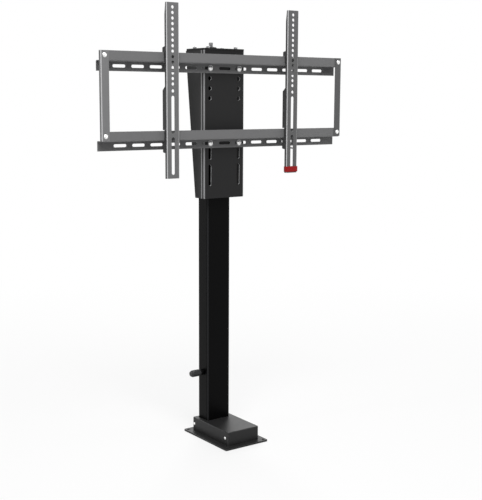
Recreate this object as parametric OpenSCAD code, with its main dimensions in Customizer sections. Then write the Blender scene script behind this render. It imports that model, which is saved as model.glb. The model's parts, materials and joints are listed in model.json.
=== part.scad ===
// Screen lift: a telescopic column on a flat foot raises a slotted frame that carries two screen arms.
// Millimetres, Z up, front at -Y. The origin is on the floor under the column axis.

/* [Column] */
// Width of the fixed tube
column_w = 78; // [74:1:90]
// Depth of the fixed tube
column_d = 50; // [50:1:64]
// Wall of the fixed tube
column_wall = 2; // [1.5:0.5:2.5]
// Length of the fixed tube
column_len = 715; // [690:5:800]
// Outer corner radius of the fixed tube
column_r = 7; // [6:0.5:9]
// Wall of the sliding tube
inner_wall = 2.5; // [2:0.5:3]
// Room between the tubes for the plastic glides
glide_gap = 3; // [2.5:0.5:3.5]

/* [Travel] */
// Full lifting stroke
stroke = 500; // [420:10:520]
// Height raised above the lowest position in the rest pose
rest_extension = 350; // [300:10:400]
// Outside diameter of the lifting screw
screw_d = 16; // [14:1:18]

/* [Foot] */
// Width of the floor plate
plate_w = 145; // [140:1:180]
// Depth of the floor plate
plate_d = 216; // [210:1:260]
// Thickness of the floor plate
plate_t = 5; // [4:0.5:8]
// Height of the motor cover above the plate
cover_h = 39; // [38:1:60]
// Rim of the plate left bare round the cover
cover_margin = 19; // [17:1:21]
// Diameter of the floor bolt holes
foot_hole_d = 9; // [7:0.5:11]

/* [Hood bracket] */
// Outside width of the hood
hood_w = 136; // [128:1:150]
// Height of the hood
hood_h = 405; // [380:5:440]
// Side depth at the top
hood_top_d = 89; // [82:1:100]
// Side depth at the bottom
hood_low_d = 44; // [36:1:60]
// Sheet thickness of the hood
hood_t = 3; // [2:0.5:4]
// Clear distance from the column to the outside of the hood front
hood_reach = 25; // [23:1:35]
// Outside bend radius of the hood
hood_r = 8; // [5:1:12]

/* [Frame] */
// Length of both rails
rail_len = 791; // [760:1:900]
// Distance from the top of the hood down to the bolts of the upper rail
rail_drop = 49; // [44:1:54]
// Distance between the two rails
rail_pitch = 203; // [195:1:215]
// Sheet thickness of rails and straps
rail_t = 2; // [1.5:0.5:2.5]
// Height of the slotted web
web_h = 26.5; // [24:0.5:34]
// Height of the hanging lip above the shelf
lip_h = 24; // [20:0.5:30]
// Depth of the shelf between web and lip
shelf_d = 28; // [24:1:36]
// Distance between slot centres
slot_pitch = 55; // [52:1:58]
// Length of a rail slot
slot_len = 38; // [32:1:40]
// Height of a rail slot
slot_h = 8; // [7:0.5:9]
// Front width of an end strap
strap_w = 23; // [18:1:26]
// Depth of the outer flange of an end strap
strap_flange = 10; // [8:1:22]

/* [Arms] */
// Length of a screen arm
arm_len = 455; // [430:1:500]
// Height of an arm above the upper rail
arm_rise = 126.5; // [110:0.5:140]
// Width of a screen arm
arm_w = 39; // [36:0.5:44]
// Sheet thickness of an arm
arm_t = 2; // [1.5:0.5:2.5]
// Half the distance between the arms in the rest pose
arm_x = 200; // [190:1:210]
// Distance of both arms to the right of the middle in the rest pose
arm_shift = 6; // [-10:1:10]
// Depth of the plain flange
arm_flange = 9; // [8:0.5:12]
// Depth of the flange where it hooks on the rails
arm_hook = 20.5; // [19.5:0.5:24]
// Diameter of the screen screw holes
arm_hole_d = 8.5; // [6:0.5:9.5]
// Width of the two long screen slots
arm_slot_w = 10; // [6:0.5:11]

/* [Hidden] */
$fn = 64;
run = 0.3;            // running gap of sliding plastic
fit = 0.1;            // radial room of a shaft or bolt in its hole
play = 0.5;           // gap beside turning or loosely fitted pieces
eps = 0.5;            // overshoot of a cut
least_r = 0.5;        // smallest inside corner

// Screws: shank, head and height of the head
m5_d = 5;
m5_head = 9;
m5_head_h = 2.8;
m4_d = 4;
m4_head = 7;
m4_head_h = 2.5;
m3_d = 3;

// Tubes
foot_z = plate_t;
column_top = foot_z + column_len;
bore_w = column_w - 2 * column_wall;
bore_d = column_d - 2 * column_wall;
bore_r = column_r - column_wall;
inner_w = bore_w - 2 * glide_gap;
inner_d = bore_d - 2 * glide_gap;
inner_r = 3;          // outer corner radius of the sliding tube
core_w = inner_w - 2 * inner_wall;
core_d = inner_d - 2 * inner_wall;
core_r = max(inner_r - inner_wall, least_r);
bush_flange = 6;      // rim of the top bush above the tube
bush_h = 40;
glide_h = 30;

// Head
park_gap = 11;        // left above the bush at the lowest position
bridge_t = 7;
inner_top = column_top + bush_flange + park_gap + rest_extension;
head_z = inner_top + bridge_t + hood_t;
hood_low = head_z - hood_h;
front_y = -(column_d / 2 + hood_reach);
hood_back = front_y + hood_top_d;
hood_upright = 12;    // upright end of the sloping back edge
cap_t = 5;
cap_top = head_z + cap_t;
cap_rim = 1;          // cap plate past the hood
cap_screw_x = hood_w / 2 - 22;
cap_screw_y = [front_y + 12, hood_back - 11];
cap_head = 10;
cap_head_h = 7;
hub_y = hood_back - 23;
hub_d = 32;
hub_h = 4;
hub_slope = 2;        // chamfer of the hub
stud_top_d = 12;
stud_top_h = 17;      // stud above the cap
stud_tip = 1.5;       // chamfer of the stud
stud_grip = 4;        // stud in the bridge

// Foot
plate_r = 4;
socket_t = 3;
socket_out = socket_t + fit;
socket_h = 31;
socket_room = 3;      // behind the socket, inside the cover
cover_wall = 2;
cover_r = 4;
cover_back = column_d / 2 + socket_t + socket_room;
plate_back = cover_back + cover_margin;
plate_front = plate_back - plate_d;
cover_front = plate_front + cover_margin;
cover_half = plate_w / 2 - cover_margin;
cover_top = foot_z + cover_h;
plate_mid = (plate_back + plate_front) / 2;
foot_x = plate_w / 2 - cover_margin / 2;
foot_y = plate_d / 2 - cover_margin / 2;
cover_screw_z = foot_z + 20;
cover_screws_y = [cover_front + 13, cover_back - 9];
cover_head_top = 7;   // flat on the head of a cover screw
lug_t = 4;            // steel lugs that take the cover screws
lug_w = 10;
lug_h = 30;
lug_grip = 2;         // cover screw past its lug

// Gear train: pinion on the motor, idler, wheel on the screw
gear_m = 1.5;
wheel_teeth = 26;
idler_teeth = 24;
pinion_teeth = 18;
pressure = 20;        // pressure angle of the teeth, degrees
slack = 0.12;         // taken off both flanks
gear_h = 8;
gear_z = foot_z + 4;
gear_room = 1.5;      // above the gears
idler_y = -gear_m * (wheel_teeth + idler_teeth) / 2;
pinion_y = idler_y - gear_m * (idler_teeth + pinion_teeth) / 2;
idler_tip = gear_m * (idler_teeth + 2) / 2;
window_half = idler_tip + 1;
pin_d = 8;
axle_d = 6;
axle_len = 10;        // pinion axle inside the motor

// Deck that carries the motor and the control unit
deck_room = 1.5;
deck_z = gear_z + gear_h + gear_room;
deck_t = 2;
deck_top = deck_z + deck_t;
deck_back = -(column_d / 2 + socket_t + deck_room);
deck_half = cover_half - cover_wall - lug_t - deck_room;
deck_front = cover_front + cover_wall + deck_room;
deck_hole = 14;
post_d = 8;
post_in = 6;
post_floor = 2;       // solid foot of a post
post_x = deck_half - post_in;
post_y = [deck_front + post_in, deck_back - post_in];
motor_room = 1.5;
motor_h = cover_top - cover_wall - motor_room - deck_top;
motor_d = 62;
motor_boss_d = 34;
motor_boss_h = 2;
motor_screw_in = 17;  // motor screws off the motor axis, both ways
motor_screw_len = 6;
unit_side = 14;       // control unit in from the edge of the deck
unit_gap = 4;         // control unit off the motor
unit_rim = 2;
unit_drop = 5;        // control unit lower than the motor
gland_d = 12;
gland_hex = 17;
gland_hex_h = 5;
gland_in = 6;
gland_out = 13;
gland_y = cover_screws_y[0] + lug_w / 2 + gland_hex;
gland_z = deck_top + gland_d / 2 + 4;

// Lifting screw and its bearings
journal_d = screw_d - 4;
bearing_d = 30;
block_z = deck_top;
block_h = 20;
block_top = block_z + block_h;
collar_h = 6;
collar_d = screw_d + 12;
set_y = bore_d / 4;   // screws that hold tube, socket and block together
set_z = block_z + 6;
set_bite = 10;
screw_tip = 2;

// Lowest point of the sliding tube, then the nut that sits in its end
park_room = 14;
inner_park = block_top + collar_h + park_room;
inner_bottom = inner_park + rest_extension;
nut_plate_t = 6;
nut_z = inner_bottom + nut_plate_t;
nut_flange_h = 5;
nut_flange_w = 42;
nut_flange_d = core_d - 3;
nut_flange_r = 5;
nut_body_d = screw_d + 8;
nut_h = 30;
nut_screw_x = nut_body_d / 2 + m4_head / 2 + play;
screw_spare = 20;     // screw above the nut at the highest position
screw_top = inner_park + stroke + nut_plate_t + nut_h + screw_spare;

// Knob that locks the tubes together for carrying
knob_z = foot_z + 179;
knob_d = 20;
knob_len = 33;
knob_neck = 6;        // narrow end next to the boss
knob_step = 3;        // how much narrower it is
knob_round = 7;       // round edge of the outer end
knob_boss = 8;
knob_boss_d = 18;
knob_gap = 1;
knob_x = -column_w / 2 - knob_boss - knob_gap;
knob_bore = 22;
flute_d = 6;
flute_out = 1.5;      // flute axis outside the grip
stud_d = 8;
stud_bite = 21;
stud_back = 0.4;      // stud end inside the wall of the tube

// Rails hang on the hood front, the bolt line runs through the slots
upper_z = head_z - rail_drop;
lower_z = upper_z - rail_pitch;
web_front = front_y - rail_t;
lip_front = web_front - shelf_d;
shelf_top = web_h / 2;
lip_top = shelf_top + lip_h;
slot_margin = 30;     // plain end of a rail
slots_each = floor((rail_len / 2 - slot_len / 2 - slot_margin) / slot_pitch);
bolt_x = hood_w / 2 - 20;
bolt_d = 7;
bolt_head = 13;
bolt_head_h = 4;
bolt_end = 8;         // bolt behind the hood front
washer_d = 17;
washer_t = 1.6;
nut_t = 6;
hood_hole_d = 8.5;
spare_hole_d = 11;    // free holes below the upper bolts
hood_slot_w = 9.5;
hood_holes = 4;
hood_pitch = 27;
hood_slot = 59;
hood_slot_gap = 14;
hood_slot_top = lower_z + 14;
strap_r = 3;          // outer bend of a strap, clear of the rail ends
strap_x = rail_len / 2 + strap_r;
strap_low = lower_z + shelf_top;
strap_front = lip_front - rail_t;
rivet_d = 5;
rivet_head = 12;
rivet_flat = 8;
rivet_head_h = 2.8;
rivet_tail_h = 1.5;
rivet_x = strap_x - strap_w / 2;
rivet_z = [upper_z + shelf_top + lip_h / 2, lower_z + shelf_top + lip_h / 2];

// Arms, measured from the top of the upper lip
arm_gap = 4.5;        // plain flange in front of the lip
arm_front = lip_front - arm_gap - arm_flange;
arm_top = upper_z + lip_top + arm_rise;
arm_low = arm_top - arm_len;
arm_back = arm_front + arm_flange;
hook_back = arm_front + arm_hook;
arm_r = 3;
hook_room = 0.3;      // above the upper lip
hook_in = 14;         // hook down behind the upper lip
hook_wall = 12;       // hook above the upper lip
hook_slope = 3;
lip_room = 2;         // above and below a lip
lip_play = 1;         // in front of a lip
deep_h = 105;         // deep part above the lower rail
deep_slope = 10;
toe_h = 6;            // deep part below the lower rail
toe_slope = 2;
deep_low = lower_z - web_h / 2 - toe_h - toe_slope;
deep_top = lower_z + lip_top + deep_h + deep_slope;
tip_h = 30;           // slanted top end
tip_in = 4;
tv_span = 200;        // from the second hole to the last
hole_count = 15;
hole_pitch = 14;
hole_first = arm_top - 12;
hole_last = hole_first - hole_pitch - tv_span;
arm_slot_top = hole_last - arm_hole_d / 2 - 8;
arm_slot_low = arm_low + 10;
arm_bar = 10;         // left between the two slots
arm_slot = (arm_slot_top - arm_slot_low - arm_bar) / 2;

// Safety latch of the right arm
latch_t = 2.5;
latch_x = arm_shift + arm_x + arm_w / 2 - arm_t - 1.5 - latch_t;
latch_room = 1.5;
latch_edge = 0.5;
latch_arm = 5;        // height of the arm that carries the catch
latch_under = 3;      // left below the rail
latch_bite = 7;       // catch behind the rail
latch_catch = front_y + 1.5;
latch_catch_t = 3;
latch_top = lower_z - web_h / 2 - latch_under;
latch_neck = latch_top - latch_arm;
tab_z = arm_low + 3;
tab_h = 15;
tab_t = 1.2;

frame_grey = [0.42, 0.42, 0.43];
hood_grey = [0.17, 0.17, 0.18];
column_black = [0.07, 0.07, 0.07];
zinc = [0.8, 0.8, 0.8];
dark_zinc = [0.3, 0.3, 0.31];
plastic = [0.1, 0.1, 0.1];
steel = [0.55, 0.55, 0.57];
bronze = [0.75, 0.6, 0.25];
red = [0.75, 0.06, 0.06];

// Rectangle w by d with round corners
module rounded(w, d, r) {
    square([w - 2 * r, d], center = true);
    square([w, d - 2 * r], center = true);
    for (x = [-1, 1], y = [-1, 1])
        translate([x * (w / 2 - r), y * (d / 2 - r)])
            circle(r);
}

// Channel outline in plan, closed at the front, round front corners
module channel_plan(w, front, back, r) {
    translate([-w / 2, front + r])
        square([w, back - front - r]);
    translate([-w / 2 + r, front])
        square([w - 2 * r, back - front]);
    for (x = [-1, 1])
        translate([x * (w / 2 - r), front + r])
            circle(r);
}

// Bent sheet seen from above
module sheet_plan(w, front, back, r, t) {
    difference() {
        channel_plan(w, front, back, r);
        channel_plan(w - 2 * t, front + t, back + eps, max(r - t, least_r));
    }
}

// Side outline (y, z) drawn out along X, middle on x = 0
module along_x(len) {
    rotate([90, 0, 90])
        linear_extrude(len, center = true)
            children();
}

// Front outline (x, z) drawn out from y0 to y1
module along_y(y0, y1) {
    translate([0, y1, 0])
        rotate([90, 0, 0])
            linear_extrude(y1 - y0)
                children();
}

// Pin on a Y axis through (x, z)
module pin_y(x, z, y0, y1, d) {
    translate([x, y1, z])
        rotate([90, 0, 0])
            cylinder(d = d, h = y1 - y0);
}

// Pin on an X axis through (y, z)
module pin_x(y, z, x0, x1, d) {
    translate([x0, y, z])
        rotate([0, 90, 0])
            cylinder(d = d, h = x1 - x0);
}

module pin_z(x, y, z0, z1, d) {
    translate([x, y, z0])
        cylinder(d = d, h = z1 - z0);
}

module tube(w, d, r, wall, z0, z1) {
    translate([0, 0, z0])
        linear_extrude(z1 - z0)
            difference() {
                rounded(w, d, r);
                rounded(w - 2 * wall, d - 2 * wall, max(r - wall, least_r));
            }
}

// Slot outline, long side upright or level
module slot(len, w, upright) {
    rotate(upright ? 90 : 0) {
        square([len - w, w], center = true);
        for (x = [-1, 1])
            translate([x * (len - w) / 2, 0])
                circle(d = w);
    }
}

// Involute gear outline, slack taken off both flanks
function inv(a) = tan(a) * 180 / PI - a;
function flank(r, rb, n) = 90 / n + inv(pressure) - inv(acos(min(1, rb / r))) - slack / r * 180 / PI;
function at(r, a) = [r * cos(a), r * sin(a)];

module gear_plan(n, m) {
    rp = n * m / 2;
    rb = rp * cos(pressure);
    ra = rp + m;
    rf = rp - 1.25 * m;
    r0 = max(rb, rf + 0.2);
    steps = [for (i = [0:4]) r0 + (ra - r0) * i / 4];
    polygon([for (k = [0:n - 1]) each concat(
        [at(rf, 360 * k / n - flank(r0, rb, n))],
        [for (r = steps) at(r, 360 * k / n - flank(r, rb, n))],
        [for (i = [4:-1:0]) at(steps[i], 360 * k / n + flank(steps[i], rb, n))],
        [at(rf, 360 * k / n + flank(r0, rb, n))])]);
}

// Hex outline by its width across flats
module hex(flats) {
    circle(d = flats / cos(30), $fn = 6);
}

module base_plate() {
    color(plastic)
        difference() {
            translate([0, plate_mid, 0])
                linear_extrude(plate_t)
                    rounded(plate_w, plate_d, plate_r);
            for (x = [-1, 1], y = [-1, 1])
                pin_z(x * foot_x, plate_mid + y * foot_y, -eps, plate_t + eps, foot_hole_d);
        }
}

module foot_window() {
    translate([-window_half, -column_d, foot_z - eps])
        cube([2 * window_half, column_d / 2 + bore_d / 4, deck_z - foot_z + eps]);
}

module socket_bores(d) {
    for (y = [-1, 1])
        pin_x(y * set_y, set_z, -column_w, column_w, d);
}

// Screw places on both sides of the column, Z outwards
module set_places() {
    for (s = [-1, 1], y = [-1, 1])
        translate([0, y * set_y, set_z])
            rotate([0, s * 90, 0])
                children();
}

// Flush head in the wall of the socket
module set_head(room) {
    translate([0, 0, column_w / 2])
        cylinder(d1 = m5_d + 2 * room, d2 = m5_head + 2 * room, h = socket_t);
}

module column_socket() {
    color(plastic)
        difference() {
            tube(column_w + 2 * socket_out, column_d + 2 * socket_out, column_r + socket_out, socket_t,
                foot_z, foot_z + socket_h);
            foot_window();
            socket_bores(m5_d + 2 * fit);
            set_places()
                set_head(fit);
        }
}

module socket_screws() {
    color(zinc)
        set_places() {
            translate([0, 0, bore_w / 2 - set_bite])
                cylinder(d = m5_d, h = column_w / 2 + socket_t - bore_w / 2 + set_bite);
            set_head(0);
        }
}

module outer_tube() {
    color(column_black)
        difference() {
            tube(column_w, column_d, column_r, column_wall, foot_z, column_top);
            foot_window();
            socket_bores(m5_d + 2 * fit);
            pin_x(0, knob_z, -column_w, 0, stud_d + 2 * fit);
        }
}

module top_bush() {
    color(plastic)
        difference() {
            union() {
                translate([0, 0, column_top - bush_h])
                    linear_extrude(bush_h)
                        rounded(bore_w - 2 * fit, bore_d - 2 * fit, bore_r - fit);
                translate([0, 0, column_top])
                    linear_extrude(bush_flange)
                        rounded(column_w, column_d, column_r);
            }
            translate([0, 0, column_top - bush_h - eps])
                linear_extrude(bush_h + bush_flange + 2 * eps)
                    rounded(inner_w + 2 * run, inner_d + 2 * run, inner_r);
        }
}

module motor_cover() {
    mid = (cover_front + cover_back) / 2;
    depth = cover_back - cover_front;
    color(plastic)
        difference() {
            translate([0, mid, foot_z])
                linear_extrude(cover_h)
                    rounded(2 * cover_half, depth, cover_r);
            translate([0, mid, foot_z - eps])
                linear_extrude(cover_h - cover_wall + eps)
                    rounded(2 * (cover_half - cover_wall), depth - 2 * cover_wall, cover_r - cover_wall);
            translate([0, 0, foot_z])
                linear_extrude(cover_h + eps)
                    rounded(column_w + 2 * run, column_d + 2 * run, column_r + run);
            for (y = cover_screws_y)
                pin_x(y, cover_screw_z, -cover_half - eps, cover_half + eps, m5_d + 2 * fit);
            pin_x(gland_y, gland_z, cover_half - 2 * cover_wall, cover_half + eps, gland_d + 2 * fit);
        }
}

module cover_tabs() {
    inside = cover_half - cover_wall;
    color(steel)
        for (x = [-1, 1], y = cover_screws_y)
            difference() {
                translate([x * (inside - lug_t / 2), y, foot_z + lug_h / 2])
                    cube([lug_t, lug_w, lug_h], center = true);
                pin_x(y, cover_screw_z, -cover_half, cover_half, m5_d + 2 * fit);
            }
}

module cover_screws() {
    grip = cover_wall + lug_t + lug_grip;
    color(zinc)
        for (x = [-1, 1], y = cover_screws_y)
            translate([0, y, cover_screw_z])
                rotate([0, x * 90, 0]) {
                    translate([0, 0, cover_half - grip])
                        cylinder(d = m5_d, h = grip);
                    translate([0, 0, cover_half])
                        cylinder(d1 = m5_head, d2 = cover_head_top, h = m5_head_h);
                }
}

module post_places() {
    for (x = [-1, 1], y = post_y)
        translate([x * post_x, y, 0])
            children();
}

module motor_screw_places() {
    for (x = [-1, 1], y = [-1, 1])
        translate([x * motor_screw_in, pinion_y + y * motor_screw_in, 0])
            children();
}

module gear_deck() {
    color(steel)
        difference() {
            translate([-deck_half, deck_front, deck_z])
                cube([2 * deck_half, deck_back - deck_front, deck_t]);
            pin_z(0, pinion_y, deck_z - eps, deck_top + eps, deck_hole);
            post_places()
                pin_z(0, 0, deck_z - eps, deck_top + eps, m4_d + 2 * fit);
            motor_screw_places()
                pin_z(0, 0, deck_z - eps, deck_top + eps, m3_d + 2 * fit);
        }
}

module deck_posts() {
    color(steel)
        post_places()
            difference() {
                pin_z(0, 0, foot_z, deck_z, post_d);
                pin_z(0, 0, foot_z + post_floor, deck_z + eps, m4_d + 2 * fit);
            }
}

module deck_screws() {
    color(zinc)
        post_places() {
            pin_z(0, 0, foot_z + 2 * post_floor, deck_top, m4_d);
            pin_z(0, 0, deck_top, deck_top + m4_head_h, m4_head);
        }
}

module gear_motor() {
    shoulder = deck_top + motor_h - motor_boss_h;
    color(steel)
        difference() {
            union() {
                pin_z(0, pinion_y, deck_top, shoulder, motor_d);
                pin_z(0, pinion_y, deck_top, shoulder + motor_boss_h, motor_boss_d);
            }
            pin_z(0, pinion_y, deck_top - eps, deck_top + axle_len + play, axle_d + 2 * fit);
            motor_screw_places()
                pin_z(0, 0, deck_top - eps, deck_top + motor_screw_len + play, m3_d + 2 * fit);
        }
}

module motor_screws() {
    color(zinc)
        motor_screw_places()
            pin_z(0, 0, deck_z, deck_top + motor_screw_len, m3_d);
}

module control_unit() {
    front = deck_front + unit_rim;
    back = pinion_y - motor_d / 2 - unit_gap;
    color(plastic)
        translate([-deck_half + unit_side, front, deck_top])
            cube([2 * (deck_half - unit_side), back - front, motor_h - unit_drop]);
}

module idler_pin() {
    color(steel)
        pin_z(0, idler_y, foot_z, deck_z, pin_d);
}

module foot_bearing() {
    color(steel)
        difference() {
            pin_z(0, 0, foot_z, gear_z - play, bearing_d);
            pin_z(0, 0, foot_z - eps, gear_z, journal_d + 2 * fit);
        }
}

module bearing_block() {
    color(steel)
        difference() {
            translate([0, 0, block_z])
                linear_extrude(block_h)
                    rounded(bore_w - 2 * fit, bore_d - 2 * fit, bore_r);
            pin_z(0, 0, block_z - eps, block_top + eps, screw_d + 2 * fit);
            set_places()
                translate([0, 0, bore_w / 2 - set_bite - play])
                    cylinder(d = m5_d + 2 * fit, h = set_bite + 2 * play);
        }
}

module cable_gland() {
    color(plastic)
        difference() {
            union() {
                pin_x(gland_y, gland_z, cover_half - gland_in, cover_half + gland_out, gland_d);
                translate([cover_half, gland_y, gland_z])
                    rotate([0, 90, 0])
                        linear_extrude(gland_hex_h)
                            hex(gland_hex);
            }
            pin_x(gland_y, gland_z, cover_half - gland_in - eps, cover_half + gland_out + eps, gland_d / 2);
        }
}

module knob_boss_nut() {
    color(column_black)
        difference() {
            pin_x(0, knob_z, knob_x + knob_gap, -column_w / 2, knob_boss_d);
            pin_x(0, knob_z, -column_w, 0, stud_d + 2 * fit);
        }
}

module lock_knob() {
    r = knob_d / 2;
    color(plastic)
        difference() {
            translate([knob_x, 0, knob_z])
                rotate([0, -90, 0])
                    rotate_extrude()
                        intersection() {
                            union() {
                                square([r - knob_step, knob_len]);
                                translate([0, knob_neck])
                                    square([r, knob_len - knob_neck - knob_round]);
                                translate([r - knob_round, knob_len - knob_round])
                                    circle(knob_round);
                                square([r - knob_round, knob_len]);
                            }
                            square([r, knob_len]);
                        }
            pin_x(0, knob_z, knob_x - knob_bore, knob_x + eps, stud_d + 2 * fit);
            for (a = [22.5:45:359])
                pin_x(sin(a) * (r + flute_out), knob_z + cos(a) * (r + flute_out), knob_x - knob_len - eps,
                    knob_x - knob_neck, flute_d);
        }
}

module lock_stud() {
    color(zinc)
        pin_x(0, knob_z, knob_x - stud_bite, -bore_w / 2 - stud_back, stud_d);
}

module lifting_screw() {
    shoulder = gear_z + gear_h + play;
    color(steel) {
        pin_z(0, 0, foot_z + play, shoulder, journal_d);
        pin_z(0, 0, shoulder, screw_top - screw_tip, screw_d);
        translate([0, 0, screw_top - screw_tip])
            cylinder(d1 = screw_d, d2 = screw_d - 2 * screw_tip, h = screw_tip);
    }
}

module screw_wheel() {
    color(steel)
        translate([0, 0, gear_z])
            linear_extrude(gear_h)
                difference() {
                    rotate(-90 - 180 / wheel_teeth)
                        gear_plan(wheel_teeth, gear_m);
                    circle(d = journal_d + 2 * fit);
                }
}

module thrust_collar() {
    color(steel)
        difference() {
            pin_z(0, 0, block_top + play, block_top + play + collar_h, collar_d);
            pin_z(0, 0, block_top, block_top + collar_h + 2 * play + eps, screw_d + 2 * fit);
        }
}

module idler_gear() {
    color(steel)
        translate([0, idler_y, gear_z])
            linear_extrude(gear_h)
                difference() {
                    rotate(90)
                        gear_plan(idler_teeth, gear_m);
                    circle(d = pin_d + 2 * fit);
                }
}

module motor_pinion() {
    color(steel) {
        translate([0, pinion_y, gear_z])
            linear_extrude(gear_h)
                rotate(90 - 180 / pinion_teeth)
                    gear_plan(pinion_teeth, gear_m);
        pin_z(0, pinion_y, gear_z, deck_top + axle_len, axle_d);
    }
}

module inner_tube() {
    color(column_black)
        tube(inner_w, inner_d, inner_r, inner_wall, inner_bottom, inner_top);
}

module inner_glide() {
    color(plastic)
        translate([0, 0, inner_bottom])
            linear_extrude(glide_h)
                difference() {
                    rounded(bore_w - 2 * run, bore_d - 2 * run, bore_r);
                    rounded(inner_w, inner_d, inner_r);
                }
}

module nut_screw_places() {
    for (x = [-1, 1])
        translate([x * nut_screw_x, 0, 0])
            children();
}

module nut_plate() {
    color(steel)
        difference() {
            translate([0, 0, inner_bottom])
                linear_extrude(nut_plate_t)
                    rounded(core_w - 2 * fit, core_d - 2 * fit, core_r);
            pin_z(0, 0, inner_bottom - eps, nut_z + eps, screw_d + 2 * play);
            nut_screw_places()
                pin_z(0, 0, inner_bottom - eps, nut_z + eps, m4_d + 2 * fit);
        }
}

module drive_nut() {
    color(bronze)
        difference() {
            union() {
                translate([0, 0, nut_z])
                    linear_extrude(nut_flange_h)
                        rounded(nut_flange_w, nut_flange_d, nut_flange_r);
                pin_z(0, 0, nut_z, nut_z + nut_h, nut_body_d);
            }
            pin_z(0, 0, nut_z - eps, nut_z + nut_h + eps, screw_d + 2 * fit);
            nut_screw_places()
                pin_z(0, 0, nut_z - eps, nut_z + nut_flange_h + eps, m4_d + 2 * fit);
        }
}

module nut_screws() {
    seat = nut_z + nut_flange_h;
    color(zinc)
        nut_screw_places() {
            pin_z(0, 0, inner_bottom + play, seat, m4_d);
            pin_z(0, 0, seat, seat + m4_head_h, m4_head);
        }
}

module cap_places() {
    for (x = [-1, 1], y = cap_screw_y)
        translate([x * cap_screw_x, y, 0])
            children();
}

module top_bridge() {
    color(hood_grey)
        difference() {
            translate([0, 0, inner_top])
                linear_extrude(bridge_t)
                    channel_plan(hood_w - 2 * (hood_t + play), front_y + hood_t + play, hood_back - play,
                        hood_r - hood_t);
            pin_z(0, hub_y, head_z - hood_t - stud_grip - play, head_z, stud_top_d + 2 * fit);
            cap_places()
                pin_z(0, 0, inner_top - eps, head_z, m5_d + 2 * fit);
        }
}

module hood_bracket() {
    low_back = front_y + hood_low_d;
    inside = front_y + hood_t + eps;
    color(hood_grey)
        difference() {
            intersection() {
                union() {
                    translate([0, 0, hood_low])
                        linear_extrude(hood_h)
                            sheet_plan(hood_w, front_y, hood_back, hood_r, hood_t);
                    translate([0, 0, head_z - hood_t])
                        linear_extrude(hood_t)
                            channel_plan(hood_w, front_y, hood_back, hood_r);
                }
                along_x(hood_w + 2 * eps)
                    polygon([[front_y - eps, hood_low], [low_back, hood_low],
                        [hood_back, head_z - hood_upright], [hood_back, head_z], [front_y - eps, head_z]]);
            }
            for (x = [-1, 1], k = [0:hood_holes - 1])
                pin_y(x * bolt_x, upper_z - k * hood_pitch, front_y - eps, inside,
                    k == 0 ? hood_hole_d : spare_hole_d);
            along_y(front_y - eps, inside)
                for (x = [-1, 1], k = [0, 1])
                    translate([x * bolt_x, hood_slot_top - hood_slot / 2 - k * (hood_slot + hood_slot_gap)])
                        slot(hood_slot, hood_slot_w, true);
            pin_z(0, hub_y, inner_top, head_z + eps, stud_top_d + 2 * fit);
            cap_places()
                pin_z(0, 0, head_z - hood_t - eps, head_z + eps, m5_d + 2 * fit);
        }
}

module cap_plate() {
    color(hood_grey)
        difference() {
            translate([0, (front_y + hood_back) / 2, head_z])
                linear_extrude(cap_t)
                    rounded(hood_w + 2 * cap_rim, hood_top_d + 2 * cap_rim, hood_r);
            pin_z(0, hub_y, head_z - eps, cap_top + eps, stud_top_d + 2 * fit);
            cap_places()
                pin_z(0, 0, head_z - eps, cap_top + eps, m5_d + 2 * fit);
        }
}

module cap_screws() {
    color(dark_zinc)
        cap_places() {
            pin_z(0, 0, inner_top + play, cap_top, m5_d);
            pin_z(0, 0, cap_top, cap_top + cap_head_h, cap_head);
        }
}

module cap_hub() {
    color(hood_grey)
        difference() {
            union() {
                pin_z(0, hub_y, cap_top, cap_top + hub_h, hub_d);
                translate([0, hub_y, cap_top + hub_h])
                    cylinder(d1 = hub_d, d2 = hub_d - 2 * hub_slope, h = hub_slope);
            }
            pin_z(0, hub_y, cap_top - eps, cap_top + hub_h + hub_slope + eps, stud_top_d + 2 * fit);
        }
}

module cap_stud() {
    color(dark_zinc) {
        pin_z(0, hub_y, head_z - hood_t - stud_grip, cap_top + stud_top_h, stud_top_d);
        translate([0, hub_y, cap_top + stud_top_h])
            cylinder(d1 = stud_top_d, d2 = stud_top_d - 2 * stud_tip, h = stud_tip);
    }
}

// Side outline of a rail round its bolt line: web, shelf and lip
module rail_side() {
    lip_back = lip_front + rail_t;
    shelf_low = shelf_top - rail_t;
    polygon([[front_y, -web_h / 2], [front_y, shelf_top], [lip_back, shelf_top], [lip_back, lip_top],
        [lip_front, lip_top], [lip_front, shelf_low], [web_front, shelf_low], [web_front, -web_h / 2]]);
}

module rail(z) {
    color(frame_grey)
        difference() {
            along_x(rail_len)
                translate([0, z])
                    rail_side();
            along_y(web_front - eps, front_y + eps)
                for (k = [-slots_each:slots_each])
                    translate([k * slot_pitch, z])
                        slot(slot_len, slot_h, false);
            for (x = [-1, 1])
                pin_y(x * rivet_x, z + shelf_top + lip_h / 2, lip_front - eps, lip_front + rail_t + eps,
                    rivet_d + 2 * fit);
        }
}

module upper_rail() {
    rail(upper_z);
}

module lower_rail() {
    rail(lower_z);
}

// Angle section of an end strap, outer corner at the origin
module strap_plan() {
    translate([-strap_w, 0])
        square([strap_w - strap_r, rail_t]);
    translate([-rail_t, strap_r])
        square([rail_t, strap_flange - strap_r]);
    translate([-strap_r, strap_r])
        intersection() {
            difference() {
                circle(strap_r);
                circle(strap_r - rail_t);
            }
            translate([0, -strap_r])
                square(strap_r);
        }
}

// Angle strip closing one end of the frame, side is -1 or 1
module strap(side) {
    color(frame_grey)
        difference() {
            translate([0, 0, strap_low])
                linear_extrude(upper_z + lip_top - strap_low)
                    scale([side, 1])
                        translate([strap_x, strap_front])
                            strap_plan();
            for (z = rivet_z)
                pin_y(side * rivet_x, z, strap_front - eps, lip_front + eps, rivet_d + 2 * fit);
        }
}

module left_strap() {
    strap(-1);
}

module right_strap() {
    strap(1);
}

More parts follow.
